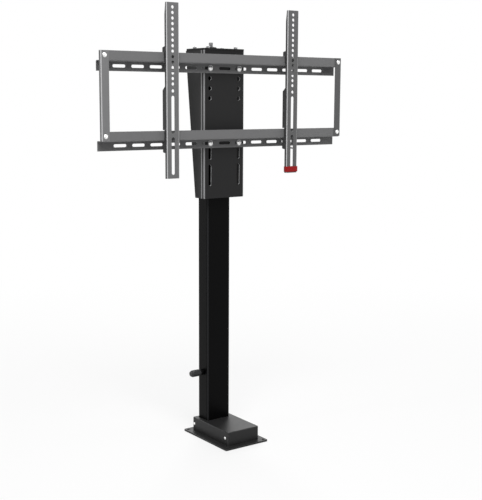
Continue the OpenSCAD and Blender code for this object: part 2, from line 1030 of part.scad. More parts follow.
module strap_rivets() {
    tail = lip_front + rail_t;
    color(zinc)
        for (x = [-1, 1], z = rivet_z) {
            pin_y(x * rivet_x, z, strap_front, tail, rivet_d);
            pin_y(x * rivet_x, z, tail, tail + rivet_tail_h, rivet_flat);
            translate([x * rivet_x, strap_front, z])
                rotate([90, 0, 0])
                    cylinder(d1 = rivet_head, d2 = rivet_flat, h = rivet_head_h);
        }
}

module bolt_places() {
    for (x = [-1, 1], z = [upper_z, lower_z])
        translate([x * bolt_x, 0, z])
            children();
}

module rail_bolts() {
    seat = web_front - washer_t;
    color(zinc)
        bolt_places() {
            pin_y(0, 0, seat, front_y + hood_t + bolt_end, bolt_d);
            pin_y(0, 0, seat - bolt_head_h, seat, bolt_head);
        }
}

module rail_washers() {
    color(dark_zinc)
        bolt_places()
            difference() {
                pin_y(0, 0, web_front - washer_t, web_front, washer_d);
                pin_y(0, 0, web_front - washer_t - eps, web_front + eps, bolt_d + 2 * fit);
            }
}

module rail_nuts() {
    seat = front_y + hood_t;
    color(zinc)
        bolt_places()
            difference() {
                along_y(seat, seat + nut_t)
                    hex(bolt_head);
                pin_y(0, 0, seat - eps, seat + nut_t + eps, bolt_d + 2 * fit);
            }
}

// Side outline of an arm: plain flange, hook over the upper lip, deep part notched for the lower lip
module arm_side() {
    up = upper_z + lip_top;
    low = lower_z + lip_top;
    shelf = lower_z + shelf_top - rail_t;
    toe = deep_low + toe_slope;
    ahead = lip_front - lip_play;
    behind = lip_front + rail_t + play;
    polygon([[arm_front, arm_low], [arm_back, arm_low], [arm_back, deep_low], [hook_back, toe],
        [hook_back, shelf - lip_room], [ahead, shelf - lip_room], [ahead, low + lip_room],
        [hook_back, low + lip_room], [hook_back, deep_top - deep_slope], [arm_back, deep_top],
        [arm_back, up - hook_in - lip_room], [ahead, up - hook_in - lip_room], [ahead, up + hook_room],
        [behind, up + hook_room], [behind, up - hook_in], [hook_back, up - hook_in],
        [hook_back, up + hook_wall], [arm_back, up + hook_wall + hook_slope], [arm_back, arm_top - tip_h],
        [arm_back - tip_in, arm_top], [arm_front, arm_top]]);
}

// Both flanges hook over the upper lip, the deep part is on the left flange alone
module arm(x) {
    inside = arm_front + arm_t + eps;
    color(frame_grey)
        difference() {
            intersection() {
                translate([x, 0, arm_low])
                    linear_extrude(arm_len)
                        sheet_plan(arm_w, arm_front, hook_back, arm_r, arm_t);
                translate([x, 0, 0])
                    along_x(arm_w + 2 * eps)
                        arm_side();
            }
            for (k = [0:hole_count - 1])
                pin_y(x, hole_first - k * hole_pitch, arm_front - eps, inside, arm_hole_d);
            pin_y(x, hole_last, arm_front - eps, inside, arm_hole_d);
            along_y(arm_front - eps, inside)
                for (z = [arm_slot_top - arm_slot / 2, arm_slot_low + arm_slot / 2])
                    translate([x, z])
                        slot(arm_slot, arm_slot_w, true);
            translate([x + arm_w / 2 - arm_t - eps, arm_back, deep_low - eps])
                cube([arm_t + 2 * eps, arm_hook - arm_flange + eps, deep_top - deep_low + 2 * eps]);
        }
}

module left_arm() {
    arm(arm_shift - arm_x);
}

module right_arm() {
    arm(arm_shift + arm_x);
}

// Hooks behind the lower edge of the lower rail, pulled down with the red sleeve to free the arm
module latch_plate() {
    front = arm_front + arm_t + latch_room;
    back = arm_back - latch_edge;
    foot = arm_back + play;
    tip = lower_z - web_h / 2 + latch_bite;
    heel = latch_catch + latch_catch_t;
    color(dark_zinc)
        translate([latch_x + latch_t / 2, 0, 0])
            along_x(latch_t)
                polygon([[front, tab_z], [foot, tab_z], [foot, tab_z + tab_h], [back, tab_z + tab_h],
                    [back, latch_neck], [heel, latch_neck], [heel, tip], [latch_catch, tip],
                    [latch_catch, latch_top], [front, latch_top]]);
}

module red_sleeve() {
    inner = [arm_w + 2 * play, arm_flange + 2 * play];
    outer = [inner.x + 2 * tab_t, inner.y + 2 * tab_t];
    color(red)
        translate([arm_shift + arm_x, (arm_front + arm_back) / 2, tab_z])
            linear_extrude(tab_h)
                difference() {
                    square(outer, center = true);
                    square(inner, center = true);
                }
}

base_plate();
column_socket();
socket_screws();
outer_tube();
top_bush();
motor_cover();
cover_tabs();
cover_screws();
gear_deck();
deck_posts();
deck_screws();
gear_motor();
motor_screws();
control_unit();
idler_pin();
foot_bearing();
bearing_block();
cable_gland();
knob_boss_nut();
lifting_screw();
screw_wheel();
thrust_collar();
idler_gear();
motor_pinion();
lock_knob();
lock_stud();
inner_tube();
inner_glide();
nut_plate();
drive_nut();
nut_screws();
top_bridge();
hood_bracket();
cap_plate();
cap_screws();
cap_hub();
cap_stud();
upper_rail();
lower_rail();
left_strap();
right_strap();
strap_rivets();
rail_bolts();
rail_washers();
rail_nuts();
left_arm();
right_arm();
latch_plate();
red_sleeve();
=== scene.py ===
import json
import math

import bmesh
import bpy
from mathutils import Matrix, Vector


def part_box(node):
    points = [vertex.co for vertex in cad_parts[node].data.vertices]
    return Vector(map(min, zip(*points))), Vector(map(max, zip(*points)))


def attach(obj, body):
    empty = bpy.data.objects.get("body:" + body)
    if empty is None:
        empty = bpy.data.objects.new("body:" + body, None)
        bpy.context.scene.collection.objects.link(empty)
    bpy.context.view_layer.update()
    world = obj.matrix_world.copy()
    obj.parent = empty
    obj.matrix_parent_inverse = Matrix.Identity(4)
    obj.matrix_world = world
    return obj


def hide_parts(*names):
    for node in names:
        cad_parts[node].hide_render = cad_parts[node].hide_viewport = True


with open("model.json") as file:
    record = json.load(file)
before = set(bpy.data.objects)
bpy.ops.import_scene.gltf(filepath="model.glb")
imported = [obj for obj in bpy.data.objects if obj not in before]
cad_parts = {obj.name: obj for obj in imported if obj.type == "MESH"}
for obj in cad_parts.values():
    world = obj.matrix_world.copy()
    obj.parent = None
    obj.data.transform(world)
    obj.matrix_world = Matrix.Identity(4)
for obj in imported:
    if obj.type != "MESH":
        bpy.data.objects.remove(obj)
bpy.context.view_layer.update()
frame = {"nodes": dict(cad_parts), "record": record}
scene = bpy.context.scene
nodes = frame["nodes"]
mm = 0.001
bodyRows = frame["record"]["behaviour"]["bodies"]
bodyOf = {node: body for body, members in bodyRows.items() for node in members}
slotOf = {row["node"]: row["material_slot"] for row in frame["record"]["subparts"]}


# Node sockets that take part in plain arithmetic, for shaders and for geometry trees
class Wire:
    def __init__(self, tree, socket=None):
        self.tree = tree
        self.socket = socket

    def node(self, kind, settings=None, sockets=None, out=0):
        made = self.tree.nodes.new(kind)
        for key, value in (settings or {}).items():
            setattr(made, key, value)
        for key, value in (sockets or {}).items():
            plug(self.tree, made.inputs[key], value)
        return Wire(self.tree, made.outputs[out])

    def maths(self, operation, *others):
        values = dict(enumerate((self,) + others))
        return self.node("ShaderNodeMath", {"operation": operation}, values)

    def __add__(self, other):
        return self.maths("ADD", other)

    def __sub__(self, other):
        return self.maths("SUBTRACT", other)

    def __mul__(self, other):
        return self.maths("MULTIPLY", other)

    def __truediv__(self, other):
        return self.maths("DIVIDE", other)

    def __rsub__(self, other):
        return self.node("ShaderNodeMath", {"operation": "SUBTRACT"}, {0: other, 1: self})

    __radd__ = __add__
    __rmul__ = __mul__

    def parts(self):                                   # x, y and z of a vector
        split = self.node("ShaderNodeSeparateXYZ", sockets={0: self}).socket.node
        return [Wire(self.tree, socket) for socket in split.outputs]

    def ramp(self, low, high):                         # 0 below low, 1 above high, smooth between
        return self.node("ShaderNodeMapRange", {"interpolation_type": "SMOOTHSTEP"},
                         {"Value": self, "From Min": low, "From Max": high})

    def swing(self):                                   # a value from 0 to 1, moved to lie about zero
        return self - 0.5


def plug(tree, socket, value):
    if isinstance(value, Wire):
        tree.links.new(value.socket, socket)
    else:
        socket.default_value = value


def noise(place, size, detail=2.0):                    # size of the blotches in metres
    return place.node("ShaderNodeTexNoise", {"noise_dimensions": "3D"},
                      {"Vector": place, "Scale": 1.0 / size, "Detail": detail})


def blendColour(factor, low, high):
    return factor.node("ShaderNodeMix", {"data_type": "RGBA"}, {0: factor, 6: low, 7: high}, out=2)


def relief(height, depth):                             # depth of the pattern in metres
    return height.node("ShaderNodeBump", sockets={"Strength": 1.0, "Distance": depth, "Height": height})


def rgba(colour, gain=1.0):
    return (colour[0] * gain, colour[1] * gain, colour[2] * gain, 1.0)


def newFinish(name):
    material = bpy.data.materials.new(name)
    material.use_nodes = True
    shader = material.node_tree.nodes["Principled BSDF"]
    place = Wire(material.node_tree).node("ShaderNodeTexCoord", out="Object")
    return material, shader, place


def dress(shader, **values):                           # python names of sockets, such as baseColor
    names = {"baseColor": "Base Color", "roughness": "Roughness", "metallic": "Metallic",
             "normal": "Normal", "specular": "Specular IOR Level"}
    for key, value in values.items():
        plug(shader.id_data, shader.inputs[names[key]], value)


bendFacing = (0.80, 0.985)                             # largest part of a normal, bend and flat


def bendShare(place):                                  # 0 on flat sheet, 1 half way round a bend or edge
    facing = place.node("ShaderNodeTexCoord", out="Normal").parts()
    x, y, z = [axis.maths("ABSOLUTE") for axis in facing]
    return 1 - x.maths("MAXIMUM", y).maths("MAXIMUM", z).ramp(*bendFacing)


# Powder coat: orange peel, faint clouds, a painted highlight along bends, and a vertex attribute that lays
# on painted highlights where it is above zero and painted shade where it is below zero
powder = {"cloud": 90 * mm, "fleck": 0.5 * mm, "fleckShare": 0.10, "fleckRise": 0.35, "dark": 0.80,
          "light": 1.20, "rub": 14 * mm, "rubShare": 0.55, "rubSpread": 0.9, "cloudGloss": 0.10,
          "peelGloss": 0.06}
# In each look, the bend gain lightens bends as a painted highlight; the next two gains give the painted
# highlight and the painted shade laid on by the vertex attribute
framePaintLook = {"colour": (0.150, 0.150, 0.152), "clouds": 0.12, "bend": 0.5, "thin": 3.4,
                  "thick": 0.22, "rough": 0.46, "peel": 1.3 * mm, "peelDepth": 0.05 * mm, "specular": 0.12}
hoodPaintLook = {"colour": (0.0165, 0.0165, 0.0168), "clouds": 0.16, "bend": 2.0, "thin": 22.0,
                 "thick": 0.3, "rough": 0.50, "peel": 0.9 * mm, "peelDepth": 0.05 * mm, "specular": 0.10}
basePaintLook = {"colour": (0.0165, 0.0165, 0.0168), "clouds": 0.16, "bend": 3.0, "thin": 4.0,
                 "thick": 0.3, "rough": 0.40, "peel": 0.8 * mm, "peelDepth": 0.04 * mm, "specular": 0.20}
columnPaintLook = {"colour": (0.0016, 0.0016, 0.0017), "clouds": 0.22, "bend": 2.0, "thin": 14.0,
                   "thick": 0.3, "rough": 0.34, "peel": 1.6 * mm, "peelDepth": 0.02 * mm,
                   "specular": 0.05}


def powderCoat(name, look):
    material, shader, place = newFinish(name)
    colour = look["colour"]
    cloud = noise(place, powder["cloud"], 3.0)
    fleck = noise(place, powder["fleck"], 1.0)
    peel = noise(place, look["peel"])
    shade = cloud.swing() * look["clouds"] + fleck.swing() * powder["fleckShare"] + 0.5
    dark, light = rgba(colour, powder["dark"]), rgba(colour, powder["light"])
    plain = blendColour(shade.ramp(0.0, 1.0), dark, light)
    # painted highlight along bends, stronger and weaker in patches
    rub = powder["rubShare"] + powder["rubSpread"] * noise(place, powder["rub"], 3.0).swing()
    bendHighlit = blendColour(bendShare(place) * rub, plain, rgba(colour, 1.0 + look["bend"]))
    film = place.node("ShaderNodeAttribute", {"attribute_name": "film"}, out="Fac")   # 1 painted highlight, -1 painted shade
    # painted highlight where the vertex attribute is above zero
    thin = blendColour(film.maths("MAXIMUM", 0.0), bendHighlit, rgba(colour, look["thin"]))
    # painted shade where the vertex attribute is below zero
    coat = blendColour((0.0 - film).maths("MAXIMUM", 0.0), thin, rgba(colour, look["thick"]))
    rough = look["rough"] + powder["cloudGloss"] * cloud.swing() + powder["peelGloss"] * peel.swing()
    dress(shader, baseColor=coat, roughness=rough, specular=look["specular"],
          normal=relief(peel + powder["fleckRise"] * fleck, look["peelDepth"]))
    return material


# Zinc plate: bright, with faint spangle and a fine satin grain
zinc = {"grain": 0.25 * mm, "grainDepth": 0.008 * mm, "spangleShare": 0.45, "grainShare": 0.25,
        "spangleGloss": 0.14}
zincLook = {"colour": (0.88, 0.88, 0.87), "dull": (0.66, 0.66, 0.66), "rough": 0.24, "spangle": 2.2 * mm}
darkZincLook = {"colour": (0.36, 0.36, 0.365), "dull": (0.20, 0.20, 0.205), "rough": 0.36,
                "spangle": 1.6 * mm}


def zincPlate(name, look):
    material, shader, place = newFinish(name)
    spangle = place.node("ShaderNodeTexVoronoi", {"feature": "F1"},
                         {"Vector": place, "Scale": 1.0 / look["spangle"]}, out="Color")
    shade = spangle.parts()[0]
    grain = noise(place, zinc["grain"])
    dulled = zinc["spangleShare"] * shade + zinc["grainShare"] * grain
    dress(shader, baseColor=blendColour(dulled, rgba(look["colour"]), rgba(look["dull"])), metallic=1.0,
          roughness=look["rough"] + zinc["spangleGloss"] * shade,
          normal=relief(grain, zinc["grainDepth"]))
    return material


# Bare steel and bronze: turning or rolling lines along the piece, darker oil film in patches
bare = {"lines": (90.0, 90.0, 2600.0), "lineDepth": 0.012 * mm, "patch": 35 * mm,
        "patchFrom": (0.45, 0.75), "patchShare": 0.55, "lineShare": 0.30, "lineGloss": 0.18,
        "patchGloss": 0.08}
steelLook = {"colour": (0.46, 0.46, 0.48), "oil": (0.26, 0.25, 0.24), "rough": 0.30}
bronzeLook = {"colour": (0.62, 0.40, 0.16), "oil": (0.34, 0.20, 0.08), "rough": 0.28}


def machinedMetal(name, look):
    material, shader, place = newFinish(name)
    drawn = place.node("ShaderNodeMapping", {"vector_type": "POINT"},
                       {"Vector": place, "Scale": bare["lines"]})
    lines = noise(drawn, 1.0)
    patch = noise(place, bare["patch"], 3.0).ramp(*bare["patchFrom"])
    oiled = bare["patchShare"] * patch + bare["lineShare"] * lines
    dress(shader, baseColor=blendColour(oiled, rgba(look["colour"]), rgba(look["oil"])), metallic=1.0,
          roughness=look["rough"] + bare["lineGloss"] * lines + bare["patchGloss"] * patch,
          normal=relief(lines, bare["lineDepth"]))
    return material


# Moulded plastic: fine eroded texture with a soft gloss, random tone and a painted highlight along edges
moulded = {"cloud": 20 * mm, "bend": 0.35, "cloudShare": 0.5, "textureShare": 0.4,
           "handled": (-0.4, 0.9), "dark": 0.82, "light": 1.45, "cloudGloss": 0.12, "depth": 0.02 * mm}
blackPlasticLook = {"colour": (0.020, 0.020, 0.021), "rough": 0.44, "texture": 0.45 * mm,
                    "specular": 0.30}
redPlasticLook = {"colour": (0.28, 0.003, 0.004), "rough": 0.36, "texture": 0.9 * mm, "specular": 0.18}


def mouldedPlastic(name, look):
    material, shader, place = newFinish(name)
    texture = noise(place, look["texture"], 3.0)
    cloud = noise(place, moulded["cloud"])
    uneven = moulded["cloudShare"] * cloud.swing() + moulded["textureShare"] * texture.swing()
    # painted highlight along edges, mixed with random tone
    handled = (bendShare(place) * moulded["bend"] + uneven).ramp(*moulded["handled"])
    dark, light = rgba(look["colour"], moulded["dark"]), rgba(look["colour"], moulded["light"])
    dress(shader, baseColor=blendColour(handled, dark, light), specular=look["specular"],
          roughness=look["rough"] + moulded["cloudGloss"] * cloud.swing(),
          normal=relief(texture, moulded["depth"]))
    return material


finishes = {
    "frame_paint": powderCoat("greyPowderCoat", framePaintLook),
    "hood_paint": powderCoat("charcoalPowderCoat", hoodPaintLook),
    "base_paint": powderCoat("footPowderCoat", basePaintLook),
    "column_paint": powderCoat("blackColumnPaint", columnPaintLook),
    "bright_zinc": zincPlate("brightZinc", zincLook),
    "dark_zinc": zincPlate("blackZinc", darkZincLook),
    "plain_steel": machinedMetal("machinedSteel", steelLook),
    "bronze": machinedMetal("turnedBronze", bronzeLook),
    "black_plastic": mouldedPlastic("blackPlastic", blackPlasticLook),
    "red_plastic": mouldedPlastic("redPlastic", redPlasticLook),
}
print("finishes: %d" % len(finishes))


# Shapes
weld = 1e-6                                            # metres between points that are one
flatTo = math.radians(0.5)                             # faces that are one flat face
sharpFrom = math.radians(32)                           # edges that a press or a mould would leave
smoothTo = math.radians(42)                            # edges that shade round
foldLimits = {"turn": 1.0, "parallel": 0.999, "reach": 1.6}   # radians, cosine, sheets across a fold


def weldedCopy(node):
    shape = bmesh.new()
    shape.from_mesh(nodes[node].data)
    bmesh.ops.remove_doubles(shape, verts=shape.verts, dist=weld)
    return shape


def mergedCopy(node):                                  # a node's loose triangles as whole faces
    shape = weldedCopy(node)
    bmesh.ops.dissolve_limit(shape, angle_limit=flatTo, verts=shape.verts, edges=shape.edges)
    return shape


def sharpEdges(shape, choose=None):
    found = [e for e in shape.edges if e.is_manifold and abs(e.calc_face_angle_signed()) > sharpFrom]
    return [e for e in found if choose is None or choose(e)]


def roundOff(shape, edges, radius, segments=2):
    if edges:
        bmesh.ops.bevel(shape, geom=edges, offset=radius, offset_type="OFFSET", segments=segments,
                        profile=0.5, affect="EDGES", clamp_overlap=True)


def foldBends(shape, sheet, inside, segments=5):       # round the sharp folds of a bent sheet
    def line(edge):
        return edge.verts[0].co, (edge.verts[1].co - edge.verts[0].co).normalized()

    hollow = sharpEdges(shape, lambda e: e.calc_face_angle_signed() < -foldLimits["turn"])
    lines = [line(e) for e in hollow]

    def outsideOf(edge):
        start, along = line(edge)
        for other, direction in lines:
            gap = start - other
            apart = (gap - direction * gap.dot(direction)).length
            parallel = abs(along.dot(direction)) > foldLimits["parallel"]
            if parallel and apart < foldLimits["reach"] * sheet:
                return edge.calc_face_angle_signed() > foldLimits["turn"]
        return False

    crest = sharpEdges(shape, outsideOf)
    crestSpots = [(e.verts[0].co.copy(), e.verts[1].co.copy()) for e in crest]
    roundOff(shape, hollow, inside, segments)

    def crestAgain(edge):
        for a, b in crestSpots:
            if all(min((v.co - a).length, (v.co - b).length) < 2 * inside for v in edge.verts):
                return edge.calc_face_angle_signed() > foldLimits["turn"]
        return False

    roundOff(shape, sharpEdges(shape, crestAgain), inside + sheet, segments)


def meshOf(shape, name):
    mesh = bpy.data.meshes.new(name)
    shape.to_mesh(mesh)
    shape.free()
    return mesh


def addPiece(name, mesh, node):
    for polygon in mesh.polygons:
        polygon.use_smooth = True
    mesh.set_sharp_from_angle(angle=smoothTo)
    piece = bpy.data.objects.new(name, mesh)
    scene.collection.objects.link(piece)
    mesh.materials.clear()
    mesh.materials.append(finishes[slotOf[node]])
    even = piece.modifiers.new("evenNormals", "WEIGHTED_NORMAL")
    even.keep_sharp = True
    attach(piece, bodyOf[node])
    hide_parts(node)


def solids(node):                                      # lowest and highest corner of each separate solid
    shape = weldedCopy(node)
    left = set(shape.verts)
    found = []
    while left:
        queue = [left.pop()]
        island = []
        while queue:
            vert = queue.pop()
            island.append(vert.co.copy())
            near = [e.other_vert(vert) for e in vert.link_edges]
            fresh = [v for v in near if v in left]
            left.difference_update(fresh)
            queue.extend(fresh)
        low = Vector([min(p[i] for p in island) for i in range(3)])
        high = Vector([max(p[i] for p in island) for i in range(3)])
        found.append((low, high))
    shape.free()
    return sorted(found, key=lambda pair: tuple(pair[0]))


# Rails, end straps and screen arms
sheetMetal = {"rail": 2.0 * mm, "railInside": 1.0 * mm, "edge": 0.35 * mm}
frontBends = {                                         # upright front bends: painted highlight round each bend; on front and side, values above zero paint light and values below zero paint shade
    "left_strap": {"radius": 3.0 * mm, "sides": (-1,), "front": 0.08, "side": 0.1, "focus": 1},
    "right_strap": {"radius": 3.0 * mm, "sides": (1,), "front": -0.45, "side": -0.3, "focus": 1},
    "left_arm": {"radius": 3.0 * mm, "sides": (-1, 1), "front": -0.08, "side": -0.85, "focus": 1},
    "right_arm": {"radius": 3.0 * mm, "sides": (-1, 1), "front": -0.34, "side": -0.85, "focus": 1},
    "outer_tube": {"radius": 7.0 * mm, "sides": (-1, 1), "front": 0.0, "side": 0.0, "focus": 4},
}
bendReach = {"outer": 0.8, "side": 0.5}                # shares of a bend's radius


def paintedLightLayer(shape):                                  # painted light at each vertex: a painted highlight above zero, painted shade below zero
    return shape.verts.layers.float.get("film") or shape.verts.layers.float.new("film")


def paintBendLightAndShade(shape, node, look):                     # painted highlight half way round each bend, painted light and shade on the flat front and side
    low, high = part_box(node)
    layer = paintedLightLayer(shape)
    r = look["radius"]
    for vert in shape.verts:
        vert[layer] = look["front"]
        for side in look["sides"]:
            outward = side * vert.co.x + r - (high.x if side > 0 else -low.x)
            forward = low.y + r - vert.co.y
            onBend = math.hypot(outward, forward) > bendReach["outer"] * r
            if outward > 0 and forward > 0 and onBend:
                angle = math.atan2(forward, outward)
                flat = look["front"] if angle > math.pi / 4 else look["side"]
                vert[layer] = flat + (1 - flat) * math.sin(2 * angle) ** look["focus"]
            elif outward > bendReach["side"] * r:
                vert[layer] = look["side"]


def finishEdges(shape, node, name, edge):              # soften what is still sharp, paint bend highlights and shade, put in place
    roundOff(shape, sharpEdges(shape), edge)
    if node in frontBends:
        paintBendLightAndShade(shape, node, frontBends[node])
    addPiece(name, meshOf(shape, name), node)


def makeRail(node, name):
    shape = mergedCopy(node)
    foldBends(shape, sheetMetal["rail"], sheetMetal["railInside"])
    finishEdges(shape, node, name, sheetMetal["edge"])


def makeSheet(node, name, edge=sheetMetal["edge"]):
    finishEdges(mergedCopy(node), node, name, edge)


makeRail("upper_rail", "upperRailSheet")
makeRail("lower_rail", "lowerRailSheet")
for side in ("left", "right"):
    makeSheet(side + "_strap", side + "StrapSheet")
    makeSheet(side + "_arm", side + "ArmSheet")
makeSheet("latch_plate", "latchPlateSheet")
print("frame and arms made")


# Hood: each front corner is a round bend, then a groove and a bead run down the side
# The last two shares are painted highlights along the corner fold and along the bead
hoodCorner = {"bend": 8.0 * mm, "fold": 5.0 * mm, "groove": (5.6 * mm, 7.6 * mm),
              "grooveDepth": 0.8 * mm, "bead": (7.6 * mm, 15.4 * mm), "beadRise": 0.45 * mm,
              "loop": 0.6 * mm, "edge": 0.45 * mm, "sheet": 3.0 * mm, "cuts": 3, "foldFilm": 0.80,
              "beadFilm": 0.80}
hoodSlack = {"place": 0.02 * mm, "angle": 1e-4, "turn": 0.02}   # metres, then radians
capSlabs = {"cap_plate": ("capPlateSlab", 1.1 * mm), "cap_hub": ("capHubRing", 0.5 * mm),
            "top_bridge": ("topBridgeSlab", 0.6 * mm)}          # name and edge radius


def hump(value, span):                                 # 0 outside a span, 1 in its middle
    along = min(1.0, max(0.0, (value - span[0]) / (span[1] - span[0])))
    return math.sin(math.pi * along)


def sideRise(back, corner):                            # side wall off its plane, behind the front
    bead = corner["beadRise"] * hump(back, corner["bead"])
    return bead - corner["grooveDepth"] * hump(back, corner["groove"]) ** 2


def cornerPoint(angle, corner):                        # reach of the corner, share of painted highlight
    r, fold = corner["bend"], corner["fold"]
    across, along = math.cos(angle), math.sin(angle)
    inset = r - fold
    if r * along <= inset * across:                    # side wall, behind the fold
        back = r - r * along / across
        return (r + sideRise(back, corner)) / across, corner["beadFilm"] * hump(back, corner["bead"])
    if r * across <= inset * along:                    # front, beside the fold
        return r / along, 0.0
    middle = inset * (across + along)
    reach = middle + math.sqrt(middle * middle - 2 * inset * inset + fold * fold)
    facing = math.atan2(reach * along - inset, reach * across - inset)
    return reach, corner["foldFilm"] * math.sin(2 * facing) ** 2


def makeHood(node, name, corner):
    low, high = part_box(node)
    shape = mergedCopy(node)
    roundOff(shape, sharpEdges(shape), corner["edge"])
    r, tiny, slack = corner["bend"], hoodSlack["place"], hoodSlack["angle"]
    back = r + corner["loop"]
    while back < corner["bead"][1] + tiny:             # loops that carry the bead
        everything = shape.verts[:] + shape.edges[:] + shape.faces[:]
        bmesh.ops.bisect_plane(shape, geom=everything, plane_co=(0, low.y + back, 0), plane_no=(0, 1, 0))
        back += corner["loop"]

    def polar(vert, side):                             # reach and angle about a corner's bend axis
        outward, forward = side * vert.co.x - (high.x - r), low.y + r - vert.co.y
        return math.hypot(outward, forward), math.atan2(forward, outward)

    def onCorner(vert, side):
        reach, angle = polar(vert, side)
        return r - 2 * corner["edge"] < reach < r + tiny and -slack < angle < math.pi / 2 + slack

    def roundCorner(edge, side):                       # level edges that run round the bend
        first, second = edge.verts
        if not (onCorner(first, side) and onCorner(second, side)):
            return False
        level = abs(first.co.z - second.co.z) < weld
        return level and abs(polar(first, side)[1] - polar(second, side)[1]) > hoodSlack["turn"]

    for side in (-1, 1):
        rings = [e for e in shape.edges if roundCorner(e, side)]
        bmesh.ops.subdivide_edges(shape, edges=rings, cuts=corner["cuts"])
    layer = paintedLightLayer(shape)
    for side in (-1, 1):
        for vert in [v for v in shape.verts if onCorner(v, side)]:
            reach, angle = polar(vert, side)
            target, vert[layer] = cornerPoint(angle, corner)
            reach += target - r
            vert.co.x = side * (high.x - r + reach * math.cos(angle))
            vert.co.y = low.y + r - reach * math.sin(angle)
        for vert in shape.verts:
            back = vert.co.y - low.y
            if abs(side * vert.co.x - high.x) < tiny and r + tiny < back < corner["bead"][1]:
                vert.co.x += side * sideRise(back, corner)
                vert[layer] = corner["beadFilm"] * hump(back, corner["bead"])
    for vert in shape.verts:                           # walls of the holes and slots in the front get a full painted highlight
        inWall = tiny < vert.co.y - low.y < corner["sheet"] - tiny
        inFront = abs(vert.co.x) < high.x - r and low.z + r < vert.co.z < high.z - r
        if inWall and inFront:
            vert[layer] = 1.0
    addPiece(name, meshOf(shape, name), node)


makeHood("hood_bracket", "hoodShell", hoodCorner)
for node, (name, edge) in capSlabs.items():
    makeSheet(node, name, edge)
print("hood made")


# Column, foot and small mouldings
foldedCover = {"top": 2.4 * mm, "edge": 0.4 * mm, "rim": 6 * mm, "backRim": 3 * mm, "level": 0.01 * mm}
sleeve = {"corner": 2.2 * mm, "edge": 0.5 * mm, "upright": 10 * mm}
softEdges = {"outer_tube": 0.5 * mm, "inner_tube": 0.5 * mm, "top_bush": 0.8 * mm,
             "inner_glide": 0.5 * mm, "base_plate": 0.7 * mm, "column_socket": 0.4 * mm,
             "knob_boss_nut": 0.6 * mm, "lock_knob": 0.7 * mm, "cable_gland": 0.6 * mm,
             "control_unit": 1.5 * mm, "gear_motor": 0.8 * mm}


def pieceName(node, ending):
    words = node.split("_")
    return words[0] + "".join(word.capitalize() for word in words[1:]) + ending


def makeCover(node, name, look):
    low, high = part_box(node)
    shape = mergedCopy(node)

    def outerTop(edge):
        level = all(abs(v.co.z - high.z) < look["level"] for v in edge.verts)
        middle = (edge.verts[0].co + edge.verts[1].co) / 2
        atSide = abs(middle.x) > high.x - look["rim"]
        atFront = middle.y < low.y + look["rim"]
        atBack = middle.y > high.y - look["backRim"]
        return level and (atSide or atFront or atBack)

    roundOff(shape, sharpEdges(shape, outerTop), look["top"], 4)
    finishEdges(shape, node, name, look["edge"])


def makeSleeve(node, name, look):
    shape = mergedCopy(node)

    def outerCorner(edge):
        tall = abs(edge.verts[0].co.z - edge.verts[1].co.z) > look["upright"]
        return tall and edge.calc_face_angle_signed() > 0

    roundOff(shape, sharpEdges(shape, outerCorner), look["corner"], 4)
    finishEdges(shape, node, name, look["edge"])


makeCover("motor_cover", "motorCoverShell", foldedCover)
makeSleeve("red_sleeve", "redSleeveMoulding", sleeve)
for node, edge in softEdges.items():
    makeSheet(node, pieceName(node, "Soft"), edge)
print("column and foot made")


# Fasteners: one head of each kind, set in place by a geometry tree
evenTurn = 40                                          # sides of a turned piece
domeSteps = 7


def newTree(name, inputs):                             # geometry tree and a wire for each named input
    tree = bpy.data.node_groups.new(name, "GeometryNodeTree")
    tree.interface.new_socket("Geometry", in_out="INPUT", socket_type="NodeSocketGeometry")
    for label, kind in inputs.items():
        tree.interface.new_socket(label, in_out="INPUT", socket_type="NodeSocket" + kind)
    tree.interface.new_socket("Geometry", in_out="OUTPUT", socket_type="NodeSocketGeometry")
    entry = tree.nodes.new("NodeGroupInput")
    wires = {socket.name: Wire(tree, socket) for socket in entry.outputs if socket.name}
    return tree, wires


def closeTree(tree, shape, finish):                    # real geometry with its finish
    real = shape.node("GeometryNodeRealizeInstances", sockets={"Geometry": shape})
    done = real.node("GeometryNodeSetMaterial", sockets={"Geometry": real, "Material": finish})
    leave = tree.nodes.new("NodeGroupOutput")
    tree.links.new(done.socket, leave.inputs[0])


def evaluated(item):                                   # an object's mesh with its modifiers run
    return bpy.data.meshes.new_from_object(item.evaluated_get(bpy.context.evaluated_depsgraph_get()))


def grow(tree, mesh, values):                          # runs a tree on a mesh, returns the plain result
    holder = bpy.data.objects.new("treeHolder", mesh)
    scene.collection.objects.link(holder)
    modifier = holder.modifiers.new("tree", "NODES")
    modifier.node_group = tree
    for item in tree.interface.items_tree:
        if item.in_out == "INPUT" and item.name in values:
            modifier[item.identifier] = values[item.name]
    result = evaluated(holder)
    holder.modifiers.remove(modifier)
    bpy.data.objects.remove(holder)
    return result


def fastenerTree():
    tree, wires = newTree("fastenerPlaces", {"Fastener": "Object", "Turn": "Float", "Seed": "Int",
                                             "Finish": "Material"})
    part = wires["Fastener"].node("GeometryNodeObjectInfo", {"transform_space": "ORIGINAL"},
                                  {"Object": wires["Fastener"]}, out="Geometry")
    aim = part.node("GeometryNodeInputNamedAttribute", {"data_type": "FLOAT_VECTOR"}, {"Name": "aim"})
    upright = aim.node("FunctionNodeAlignRotationToVector", {"axis": "Z"}, {"Vector": aim})
    turn = aim.node("FunctionNodeRandomValue", {"data_type": "FLOAT"},
                    {2: 0.0, 3: wires["Turn"], "Seed": wires["Seed"]}, out=1)
    spin = turn.node("ShaderNodeCombineXYZ", sockets={"Z": turn})
    twist = spin.node("FunctionNodeEulerToRotation", sockets={"Euler": spin})
    pose = upright.node("FunctionNodeRotateRotation", {"rotation_space": "LOCAL"},
                        {"Rotation": upright, "Rotate By": twist})
    placed = part.node("GeometryNodeInstanceOnPoints",
                       sockets={"Points": wires["Geometry"], "Instance": part, "Rotation": pose})
    closeTree(tree, placed, wires["Finish"])
    return tree


